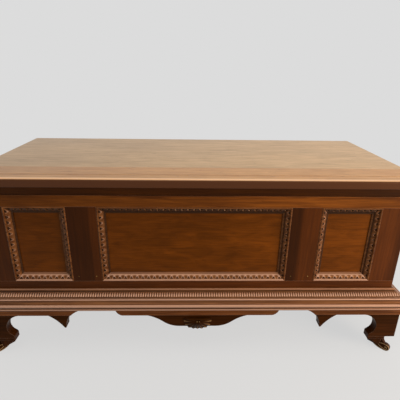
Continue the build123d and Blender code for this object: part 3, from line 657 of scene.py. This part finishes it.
def leaf_relief(phase, across):
    """Height, 0 to 1, of tongue-shaped leaves whose tips point at the bead, and of a band past them.

    A leaf's half-width grows as the root of the way from its tip. Its middle is hollowed, as
    the square of the way to its rim, the ground between the tips is sunk, and the leaves run
    out into a smooth band past their reach.
    """
    half = 0.5 * np.sqrt(np.clip(across / LEAF_REACH, LEAF_TIP, 1))
    edge = np.abs(phase) / half
    leaf = np.where(edge <= 1, LEAF_HOLLOW + (1 - LEAF_HOLLOW) * edge ** 2, 0.0)
    band = np.clip((across - LEAF_REACH) / BAND_RUN, 0, 1)
    return leaf * (1 - band), band


def proudness(profile, reach=3.0 * MM, samples=6, square=0.4):
    """How far each point of a profile stands out of its surroundings: 0.5 is flat, 1 a sharp edge.

    The surroundings' middle is the mean of the profile, sampled at samples places for each
    point and weighted by a bell curve of the distance along it, as wide as reach. What counts
    is the way from there to the point along the outward normal, which is square times reach
    at a square edge.
    """
    run = np.concatenate(([0.0], np.cumsum(np.hypot(*np.diff(profile, axis=0).T))))
    dense = np.linspace(0, run[-1], len(run) * samples)
    fine = np.stack([np.interp(dense, run, column) for column in profile.T], axis=1)
    weight = np.exp(-((run[:, None] - dense[None, :]) / reach) ** 2)
    middle = weight @ fine / weight.sum(1, keepdims=True)
    ahead = np.gradient(middle, axis=0)
    outward = np.stack((ahead[:, 1], -ahead[:, 0]), axis=1) / np.hypot(*ahead.T)[:, None]
    return np.clip(0.5 + ((profile - middle) * outward).sum(1) / (2 * square * reach), 0, 1)


def panel_stick(length, recess, wear):
    """One stick: the way along, inwards and deep in metres, and the relief, of each point.

    The profile is a bead, an ovolo and a fillet; the ovolo is sunk by the leaf relief.
    """
    leaf_wear, band_wear, fillet_wear, bead_wear = wear
    cut = carving()
    bead_foot = PANEL_BEAD / 2 - PANEL_PROUD
    fillet = recess / MM - FILLET_HEIGHT
    ovolo = ((PANEL_BEAD, bead_foot + OVOLO_STEP), (PANEL_WIDTH - FILLET_WIDTH, fillet - FILLET_STEP))
    stretches = [
        [(0.0, recess / MM), (0.0, bead_foot)],
        arc((0.0, bead_foot), (PANEL_BEAD, bead_foot), -PANEL_BEAD / 2, count=8),
        [ovolo[0]],
        arc(*ovolo, -OVOLO_BOW, OVOLO_POINTS),
        [(ovolo[1][0], fillet), (PANEL_WIDTH, fillet), (PANEL_WIDTH, recess / MM)],
    ]
    profile = np.vstack(stretches) * MM
    first = sum(len(stretch) for stretch in stretches[:2])
    carved = slice(first, first + OVOLO_POINTS + 1)

    count = round(length / cut.leaf_pitch)
    along = np.linspace(-length / 2, length / 2, count * LEAF_SAMPLES + 1)[:, None]
    inward = profile[None, :, 0]
    places = mitred(along, length / 2, -inward, (-1, 1))
    across = np.zeros(len(profile))
    across[carved] = np.linspace(0, 1, OVOLO_POINTS + 1)
    leaf, band = leaf_relief(repeat_phase(places + length / 2, length / count), across[None, :])
    height = leaf + BAND_HEIGHT * band
    mask = np.zeros(len(profile))
    mask[carved] = np.clip(np.minimum(across[carved], 1 - across[carved]) * CARVED_PARTS, 0, 1)
    depth = profile[None, :, 1] + cut.leaf_depth * (1 - height) * mask[None, :]
    # Painted light for each stick: crests take wear and painted highlight, cuts grime and painted shade.
    plain = np.where(np.arange(len(profile)) < first, bead_wear, fillet_wear)
    relief = np.where(mask[None, :] > 0, leaf * leaf_wear + band * band_wear, plain[None, :])
    return *np.broadcast_arrays(places, inward, depth), relief


class CHEST_OT_panel_mouldings(Operator):
    """Mitred bead and leaf mouldings round the three front panels"""

    bl_idname = "chest.panel_mouldings"
    bl_label = "Panel mouldings"

    def execute(self, context):
        # Run and carved walnut under varnish: crests lightened by wear and painted highlight, cuts darkened
        # by grime and painted shade, the bottom stick painted lit and the top one painted in shade.
        for seed, name in enumerate(("left", "centre", "right")):
            node = f"panel_moulding_{name}"
            low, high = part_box(node)
            face = low.y + PANEL_PROUD * MM
            recess = high.y - face
            middle = (low + high) / 2
            wide, tall = (high - low).x, (high - low).z
            solids = []
            for turn, wear in enumerate(STICK_LIGHT_AND_WEAR):
                length, reach = (tall, wide) if turn % 2 else (wide, tall)
                along, inward, depth, relief = panel_stick(length, recess, wear)
                out = reach / 2 - inward
                cos, sin = math.cos(turn * QUARTER), math.sin(turn * QUARTER)
                x = middle.x + along * cos - out * sin
                z = middle.z - out * cos - along * sin
                solids.append(lofted(np.stack((x, face + depth, z), axis=-1), relief))
            material = timber(f"carved_walnut_{node}", "X", "moulding", seed + 40, crest="rubbed", **WAXED)
            piece = make_piece(f"carved_{node}", solids, material)
            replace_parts(piece, node)
        return {"FINISHED"}


# ---------------------------------------------------------------- base mouldings
BASE_STEPS = {  # base moulding's profile in millimetres: reach, and drop from its top
    "bead": ((3.0, 0.0), (6.0, 3.0)),
    "band": ((8.5, 7.5), (21.0, 15.5)),
    "shelf": (26.0, 16.9),
    "small bead": ((28.6, 18.1), (28.6, 21.5)),
    "cove": ((27.2, 25.5), (33.6, 32.2)),
    "torus": ((33.6, 32.2), (33.6, 41.0)),
    "foot bead": ((33.6, 44.5), (33.6, 50.1)),
}
BASE_HEIGHT = 51.5
BASE_DROPS = (7.0, 17.0, 24.0, 31.0, 36.0, 42.0)  # drops in millimetres at which the wear and painted highlight change
BASE_LIGHT_AND_WEAR = (0.84, 1.0, 1.25, 1.25, 1.12, 1.0)  # how light the wear and painted highlight are at those drops
BAND_BOW = 0.8  # how far an arc of the profile bows out of its chord, in millimetres
COVE_BOW = 2.1
TORUS_BOW = 4.4
FOOT_BEAD_BOW = 2.8
BAND_POINTS = 8
RIB_SAMPLES = 6
RIB_HALF_WIDTH = 0.43  # as a share of the pitch
RIB_STRAIGHT = 0.28  # half of a rib's straight length, as a share of the band's width
RIB_END = 0.2  # length of its rounded end, as the same share
RIB_TONES = (0.2, 0.35, 0.5)  # relief of the cuts, which take grime and painted shade, what a rib adds towards painted highlight, and what its foot adds to that
THICK_VARNISH = WAXED | {"specular": 0.7, "coat": 0.25}
# painted shade at the base moulding's left end
BASE_LEFT_SHADE_TONE = 0.8


def base_profile():
    """The closed profile in metres, and for each point its place across the ribbed band."""
    bead, band, shelf, small, cove, torus, foot = BASE_STEPS.values()
    quarter_bow = (bead[1][1] - bead[0][1]) * (1 - math.cos(math.pi / 4))
    before = [
        [(0.0, 0.0), bead[0]],
        arc(*bead, -quarter_bow, count=6),
        [(bead[1][0], band[0][1]), band[0]],
    ]
    ribbed = arc(*band, -BAND_BOW, BAND_POINTS)
    after = [
        [(band[1][0], shelf[1]), shelf, (shelf[0], small[0][1]), small[0]],
        arc(*small, -BAND_BOW, count=4),
        [(cove[0][0], small[1][1]), cove[0]],
        arc(*cove, COVE_BOW, count=7),
        arc(*torus, -TORUS_BOW, count=12),
        [foot[0]],
        arc(*foot, -FOOT_BEAD_BOW, count=8),
        [(foot[1][0], BASE_HEIGHT), (0.0, BASE_HEIGHT)],
    ]
    points = np.vstack([*before, ribbed, *after]) * MM
    first = sum(len(stretch) for stretch in before) - 1
    across = np.full(len(points), -1.0)
    across[first:first + BAND_POINTS + 1] = np.linspace(0, 1, BAND_POINTS + 1)
    return points, across


def base_length(half, ends):
    """One length: the way along, out and down in metres, and the relief, of each point.

    Each rib is a half-ellipse across, and a quarter-ellipse rounds it off at each end.
    """
    cut = carving()
    count = round(2 * half / cut.rib_pitch)
    along = np.linspace(-half, half, count * RIB_SAMPLES + 1)[:, None]
    profile, across = base_profile()
    reach = profile[None, :, 0]
    places = mitred(along, half, reach, ends)
    phase = repeat_phase(places + half, 2 * half / count)
    run = np.clip((np.abs(across - 0.5) - RIB_STRAIGHT) / RIB_END, 0, 1)[None, :]
    height = rounded(phase, RIB_HALF_WIDTH) * rounded(run, 1.0)
    inside = (across > 0) & (across < 1)
    sunk = cut.rib_depth * (1 - height) * inside[None, :]
    start, end = (np.array(point) for point in BASE_STEPS["band"])
    run_x, run_z = (end - start) / np.hypot(*(end - start))
    out = reach - sunk * run_z
    drop = profile[None, :, 1] + sunk * run_x
    cuts, top, foot = RIB_TONES
    # Painted light: ribs lighten towards painted highlight, more at their foot, and the cuts darken with
    # painted shade.
    shown = cuts + height * (top + foot * np.clip(across, 0, 1))[None, :]
    # Proud crests take wear and painted highlight, and hollows grime and painted shade.
    worn_and_lit = proudness(profile) * np.interp(profile[:, 1] / MM, BASE_DROPS, BASE_LIGHT_AND_WEAR)
    relief = np.where(inside[None, :], shown, worn_and_lit[None, :])
    return *np.broadcast_arrays(places, out, drop), relief


class CHEST_OT_base_mouldings(Operator):
    """Three mitred lengths of base moulding with a ribbed band"""

    bl_idname = "chest.base_mouldings"
    bl_label = "Base mouldings"

    def execute(self, context):
        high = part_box("base_moulding_front")[1]
        half_width = high.x - BASE_STEPS["torus"][0][0] * MM - TORUS_BOW * MM
        front, back = high.y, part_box("base_moulding_left")[1].y
        x, out, drop, relief = base_length(half_width, (-1, 1))
        self.dress("front", (x, front - out, high.z - drop), relief, "X", seed=51)
        y, out, drop, relief = base_length((back - front) / 2, (-1,))
        y = (front + back) / 2 + y
        for name, side in SIDES:
            places = (side * (half_width + out), y, high.z - drop)
            self.dress(name, places, relief, "Y", seed=53 + side)
        return {"FINISHED"}

    @staticmethod
    def dress(name, places, relief, grain, seed):
        """Run and ribbed walnut under a thick varnish: beads and ribs lightened by wear and painted
        highlight, quirks darkened by grime and painted shade, and painted shade to the left.
        """
        node = f"base_moulding_{name}"
        recipe = {"stains": (left_painted_shade(BASE_LEFT_SHADE_TONE),), "crest": "rubbed"} | THICK_VARNISH
        material = timber(f"ribbed_walnut_{node}", grain, "moulding", seed, **recipe)
        solid = lofted(np.stack(places, axis=-1), relief)
        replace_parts(make_piece(f"ribbed_{node}", [solid], material), node)


# ---------------------------------------------------------------- feet and apron
class CHEST_OT_feet(Operator):
    """Dark varnish on the brackets, strips and apron"""

    bl_idname = "chest.feet"
    bl_label = "Brackets and apron"

    def execute(self, context):
        # Sawn and filed walnut under old dark varnish: near black in its hollows, brown on its faces.
        boards = {"apron_centre": "X"} | two("front_bracket_{}", "X") | two("front_toe_{}", "Z")
        boards |= two("end_bracket_{}", "Y")
        finish(boards, "dark_walnut", "foot", seed=60, specular=0.06, coat=0.01)
        strips = {"apron_strip": "X"} | two("front_strip_{}", "X") | two("end_strip_{}", "Y")
        finish(strips, "rubbed_walnut", "strip", seed=70)
        return {"FINISHED"}


SHELL_ROOT = 34.0 * MM  # top of the apron to the shell's root
SHELL_BULGE = 2.4 * MM  # how far the rim draws in between two lobes
SHELL_CROWN = 4.5 * MM  # height of the part above the root
SHELL_RIM = 3.0 * MM  # thickness of the ridges at the rim
SHELL_THINNEST = 1.0 * MM
SHELL_FULLNESS = 2.6  # 2 is an ellipse, and more fills out its corners
SHELL_START = 0.05  # share of the way from the root to the rim where the first ring lies
SHELL_SWELL = 0.8  # under 1, the surface is highest nearer to the root
SHELL_RIDGE = 0.13  # half-width of a ridge, as a share of a lobe's width
SHELL_DEEPEN = 0.7  # power of the way out with which the hollows deepen
SHELL_TONES = (0.3, 0.2, 0.45)  # relief of the hollows, in painted shade, what a ridge adds, and what the painted highlight adds on it
HIGHLIGHT_RAMP = (1.6, 0.6)  # the painted highlight comes in along a ridge as the first times the way out less the second
BOSS_PLACES = (-1.5 * MM, 5.0 * MM)  # across, from the root
BOSS_DROP = 6 * MM  # below the root
BOSS_SINK = 0.5  # from the shell's back to a boss's foot, as a share of its thickness
BOSS_RISE = 0.45  # height of a boss, as the same share
SHELL_RINGS = 20
LOBE_SAMPLES = 12


def shell_solid(root, half_width, depth, face, thickness):
    """A fan of hollow lobes on a flat back.

    At angle t the rim lies on a superellipse, with a flatter one above the root, pulled in
    between the lobes. From the root the surface swells as a sine and falls to the rim.
    Hollows between the ridges deepen with the distance from the root.
    """
    cut = carving()
    turn = np.linspace(0, 2 * np.pi, 2 * cut.lobes * LOBE_SAMPLES, endpoint=False)
    below = np.sin(turn) < 0
    phase = repeat_phase(turn, np.pi / cut.lobes)
    rise = np.where(below, depth, SHELL_CROWN)
    sideways = np.abs(np.cos(turn) / half_width) ** SHELL_FULLNESS
    upright = np.abs(np.sin(turn) / rise) ** SHELL_FULLNESS
    rim = (sideways + upright) ** (-1 / SHELL_FULLNESS)
    rim = rim - SHELL_BULGE * (2 * phase) ** 2 * below
    share = np.linspace(SHELL_START, 1, SHELL_RINGS)[:, None]
    swell = SHELL_RIM + (thickness - SHELL_RIM) * np.sin(np.pi * share ** SHELL_SWELL)
    ridge = np.exp(-(phase / SHELL_RIDGE) ** 2)[None, :]
    flute = cut.lobe_depth * share ** SHELL_DEEPEN * (1 - ridge) * below[None, :]
    proud = np.clip(swell - flute, SHELL_THINNEST, None)
    spread = np.broadcast_to(share * rim[None, :], proud.shape)
    proud = np.vstack((proud, np.zeros_like(turn)[None, :]))
    spread = np.vstack((spread, rim[None, :]))
    x = root[0] + spread * np.cos(turn)
    z = root[1] + spread * np.sin(turn)
    gain, start = HIGHLIGHT_RAMP
    # Painted highlight along the lower ridges, growing outwards.
    highlit = np.vstack((np.clip(share * gain - start, 0, 1), [[1.0]])) * below[None, :]
    hollow, plain, highlight = SHELL_TONES
    relief = hollow + plain * ridge + highlight * ridge * highlit
    return lofted(np.stack((x, face - proud, z), axis=-1), relief)


class CHEST_OT_shell(Operator):
    """Carved shell on the apron, with two bosses at its root"""

    bl_idname = "chest.shell"
    bl_label = "Shell"

    def execute(self, context):
        low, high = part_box("apron_shell")
        apron_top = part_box("apron_centre")[1].z
        root = ((low.x + high.x) / 2, apron_top - SHELL_ROOT)
        half_width = (high.x - low.x) / 2
        thickness = high.y - low.y
        solids = [shell_solid(root, half_width, root[1] - low.z, high.y, thickness)]
        radius = carving().boss_radius
        for across in BOSS_PLACES:
            centre = (root[0] + across, high.y - thickness * BOSS_SINK, root[1] - BOSS_DROP)
            solids.append(dome(centre, (0, -1, 0), radius, thickness * BOSS_RISE))
        # Walnut carved with gouges, with painted highlights on the ridges and painted shade in the hollows:
        # a few bright strokes on dark wood.
        recipe = {"specular": 0.14, "coat": 0.01, "wear": 0.0, "crest": "ridge_highlight"}
        material = timber("gilded_walnut_shell", "Z", "foot", seed=80, **recipe)
        piece = make_piece("carved_shell", solids, material, crease=60.0)
        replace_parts(piece, "apron_shell")
        return {"FINISHED"}


TOE_CENTRE = (15.5, 11.3)  # corner to the coil's centre along the diagonal, and its height
TOE_SOLE_FLAT = 8.5  # flat of the strip on the floor, from under the coil's centre
TOE_HEEL_RADIUS = 44.0
TOE_HEEL_TURN = 33.0  # degrees of the heel's arc that the coil's strip follows
TOE_BLOCK = 11.0  # thickness of the toe, across the diagonal
COIL_TURN = 560.0  # degrees from under the toe to the coil's inner end
COIL_HUG = 170.0  # degrees over which the coil keeps to the toe's round
COIL_END = 2.6  # radius at the coil's inner end
COIL_EYE = 2.0  # radius of the button in the coil's middle
COIL_STRETCH = 2.6  # times that each turn is longer towards the heel than towards the tip
COIL_LIFT = 0.14  # rise of those longer turns for each millimetre towards the heel
HEEL_STEPS = 12
COIL_STEPS = 150
COIL_AROUND = 18
COIL_SQUARENESS = 2.6  # power of the section's superellipse
COIL_TAPER = (0.5, 1, 1, 0.6)  # shares of its thickness at the strip's start, full part and end
COIL_FULL_FROM = 6  # steps from the strip's start
COIL_FULL_UNTIL = 0.6  # share of the strip's steps
COIL_TONES = (0.1, 0.9)  # relief of the strip's faces, which take painted shade, and what its sides add towards painted highlight
EYE_SINK = 2.0  # the button's foot, in from the strip's side


def coil_solid(corner, basis):
    """The strip that runs under the heel and rolls up outwards into the toe.

    Its middle line follows the heel's arc, keeps to the toe's round at first and then winds
    in evenly, in ovals drawn out towards the heel. Its section is a superellipse, wide across
    the toe and thin along the radius. The rows of basis are a corner's ways inwards along its
    diagonal, up, and across the diagonal.
    """
    cut = carving()
    thick = cut.coil_thickness / MM / 2
    outer = TOE_CENTRE[1] - thick
    heel = np.radians(np.linspace(TOE_HEEL_TURN - 90, -90, HEEL_STEPS, endpoint=False))
    heel_run = TOE_HEEL_RADIUS - thick
    heel_line = np.stack((heel_run * np.cos(heel), TOE_HEEL_RADIUS + heel_run * np.sin(heel)), 1)
    heel_line += (TOE_CENTRE[0] + TOE_SOLE_FLAT, 0)
    turn = np.linspace(0, COIL_TURN, COIL_STEPS)
    wound = np.clip(turn - COIL_HUG, 0, None) / (COIL_TURN - COIL_HUG)
    radius = outer - (outer - COIL_END) * wound
    angle = np.radians(-90 - turn)
    over = radius * np.cos(angle) * np.where(np.cos(angle) > 0, COIL_STRETCH, 1)
    lift = COIL_LIFT * np.clip(over, 0, None)
    coil_line = np.stack((TOE_CENTRE[0] + over, TOE_CENTRE[1] + radius * np.sin(angle) + lift), 1)
    line = np.vstack((heel_line, coil_line))
    ahead = np.gradient(line, axis=0)
    ahead = ahead / np.hypot(*ahead.T)[:, None]
    normal = np.stack((-ahead[:, 1], ahead[:, 0]), 1)
    stops = (0, COIL_FULL_FROM, len(line) * COIL_FULL_UNTIL, len(line) - 1)
    taper = np.interp(np.arange(len(line)), stops, COIL_TAPER)
    section = np.linspace(0, 2 * np.pi, COIL_AROUND, endpoint=False)
    square = np.abs(np.cos(section)) ** COIL_SQUARENESS + np.abs(np.sin(section)) ** COIL_SQUARENESS
    bulge = square ** (-1 / COIL_SQUARENESS)
    wide = (TOE_BLOCK / 2 + cut.coil_proud / MM) * bulge * np.cos(section)
    deep = thick * bulge * np.sin(section)
    plane = line[:, None, :] + normal[:, None, :] * (deep[None, :] * taper[:, None])[..., None]
    local = np.dstack((plane, np.broadcast_to(wide, plane.shape[:2]))) * MM
    # Painted shade on the strip's faces and painted highlight on its sides.
    face, sides = COIL_TONES
    return lofted(corner + local @ basis, face + sides * np.abs(np.cos(section)) ** 2)


class CHEST_OT_toes(Operator):
    """Scroll toes: a strip rolled up outwards at each front corner"""

    bl_idname = "chest.toes"
    bl_label = "Scroll toes"

    def execute(self, context):
        # Walnut filed to a thin roll under a bright varnish: painted highlight on the sides of its rings and
        # painted shade on their rolled faces.
        for name, side in SIDES:
            low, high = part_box(f"front_toe_{name}")
            corner = np.array((high.x if side > 0 else low.x, low.y, 0.0))
            across = np.array((1.0, side, 0.0)) / math.sqrt(2)
            inward = np.array((-side, 1.0, 0.0)) / math.sqrt(2)
            basis = np.array((inward, (0.0, 0.0, 1.0), across))
            solids = [coil_solid(corner, basis)]
            reach = TOE_BLOCK / 2 + carving().coil_proud / MM - EYE_SINK
            for facing in (-1, 1):
                eye = corner + np.array((*TOE_CENTRE, facing * reach)) * MM @ basis
                solids.append(dome(eye, facing * across, COIL_EYE * MM, COIL_EYE * MM))
            recipe = {"seed": 90 + side, "crest": "coil_worn"} | WAXED
            material = timber(f"rolled_walnut_{name}", "Z", "coil", **recipe)
            make_piece(f"toe_coil_{name}", solids, material)
        return {"FINISHED"}


# ---------------------------------------------------------------- lid
EDGE_START = 0.2 * MM  # below the lid's top, where the pale top, sun-faded and with painted reflection, gives way to its dark edge
EDGE_FULL = 2.6 * MM
# painted shade at the lid's left end
LID_LEFT_SHADE_TONE = 0.74
LIP_WORN_AND_LIT = 16 * MM  # width of the paler band of wear and painted highlight along the lid's front edge


def pale_top_dark_edge(node):
    """Stains of a lid board: painted shade to the left, a front lip of wear and painted highlight, and a
    darker edge below the pale top.
    """
    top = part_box(node)[1].z
    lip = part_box("lid_front_board")[0].y
    worn_and_lit = ("Y", lip + LIP_WORN_AND_LIT, lip + LIP_WORN_AND_LIT / 2, "MIX", shade("lid_lip_worn_and_lit"))
    # The edge below the top keeps a darker tone than the top, whose paleness is partly painted reflection.
    below_pale_top = ("Z", top - EDGE_START, top - EDGE_FULL, "MULTIPLY", shade("lid_edge"))
    return (left_painted_shade(LID_LEFT_SHADE_TONE), worn_and_lit, below_pale_top)


class CHEST_OT_lid(Operator):
    """Polished lid boards, pale from sun-fading and painted reflection, and the rim under them painted dark
    as shade
    """

    bl_idname = "chest.lid"
    bl_label = "Lid"

    def execute(self, context):
        # Planed walnut bleached by the sun, with the room's pale reflection painted into its colour, under a
        # polish that still mirrors the room softly.
        recipe = {"roughness": 0.36, "coat": 0.2, "polish": 0.1, "specular": 0.25, "wear": 0.35}
        recipe |= {"pore_depth": 0.78, "patch_depth": 0.88, "dents": 0.6, "stains": pale_top_dark_edge}
        rear = recipe | {"figure": (190.0, 12.0)}
        finish({"lid_rear_board": "X"}, "polished_walnut", "lid", seed=100, **rear)
        finish({"lid_front_board": "X"}, "polished_walnut", "lid_front", seed=101, **recipe)
        # Walnut painted a near-black brown as the shade under the lid's overhang.
        skirt = {"lid_skirt_front": "X", "lid_skirt_back": "X", "lid_skirt_sides": "Y"}
        finish(skirt, "ebonised_walnut", "skirt", seed=105)
        return {"FINISHED"}


# ---------------------------------------------------------------- carcase and hinges
class CHEST_OT_carcase(Operator):
    """Bare secondary wood of the back, the bottom and the base frame"""

    bl_idname = "chest.carcase"
    bl_label = "Carcase"

    def execute(self, context):
        boards = {name: "X" for name in ("back_bottom_rail", "back_top_rail", "back_panels", "bottom_board")}
        boards |= {"back_stiles": "Z", "base_rails_long": "X", "base_rails_cross": "Y"}
        boards |= {"rear_brackets": "X", "foot_glue_blocks": "Z"}
        # Sawn poplar left bare: dry and dull, pale brown gone grey-brown with age.
        finish(boards, "sawn_poplar", "raw", seed=110, roughness=0.66, coat=0.0, wear=0.1)
        return {"FINISHED"}


class CHEST_OT_hinges(Operator):
    """Aged brass on the hinges and their screws"""

    bl_idname = "chest.hinges"
    bl_label = "Hinges"

    def execute(self, context):
        fitted = [f"hinge_{piece}_{body}" for piece in ("leaves", "screws") for body in ("case", "lid")]
        for node in (*fitted, "hinge_pins"):
            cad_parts[node].data.materials[0] = aged_brass(f"pressed_brass_{node}")
        return {"FINISHED"}


# ---------------------------------------------------------------- panel and registration
STEPS = (
    CHEST_OT_stage,
    CHEST_OT_case_frame,
    CHEST_OT_panels,
    CHEST_OT_pins,
    CHEST_OT_panel_mouldings,
    CHEST_OT_base_mouldings,
    CHEST_OT_feet,
    CHEST_OT_shell,
    CHEST_OT_toes,
    CHEST_OT_lid,
    CHEST_OT_carcase,
    CHEST_OT_hinges,
)


class CHEST_PT_sidebar(Panel):
    """Lists the steps that finish the chest"""

    bl_idname = "CHEST_PT_sidebar"
    bl_label = "Panelled chest"
    bl_space_type = "VIEW_3D"
    bl_region_type = "UI"
    bl_category = "Chest"

    def draw(self, context):
        for step in STEPS:
            self.layout.operator(step.bl_idname)
        for group in (context.scene.chest_carving, context.scene.chest_colours):
            box = self.layout.box()
            for name in group.__annotations__:
                box.prop(group, name)


CLASSES = (ChestCarving, ChestColours, *STEPS, CHEST_PT_sidebar)


def register():
    for each in CLASSES:
        bpy.utils.register_class(each)
    bpy.types.Scene.chest_carving = PointerProperty(type=ChestCarving)
    bpy.types.Scene.chest_colours = PointerProperty(type=ChestColours)


def unregister():
    del bpy.types.Scene.chest_colours
    del bpy.types.Scene.chest_carving
    for each in reversed(CLASSES):
        bpy.utils.unregister_class(each)


def main():
    register()
    for step in STEPS:
        getattr(bpy.ops.chest, step.bl_idname.split(".")[1])()


if __name__ == "__main__":
    main()
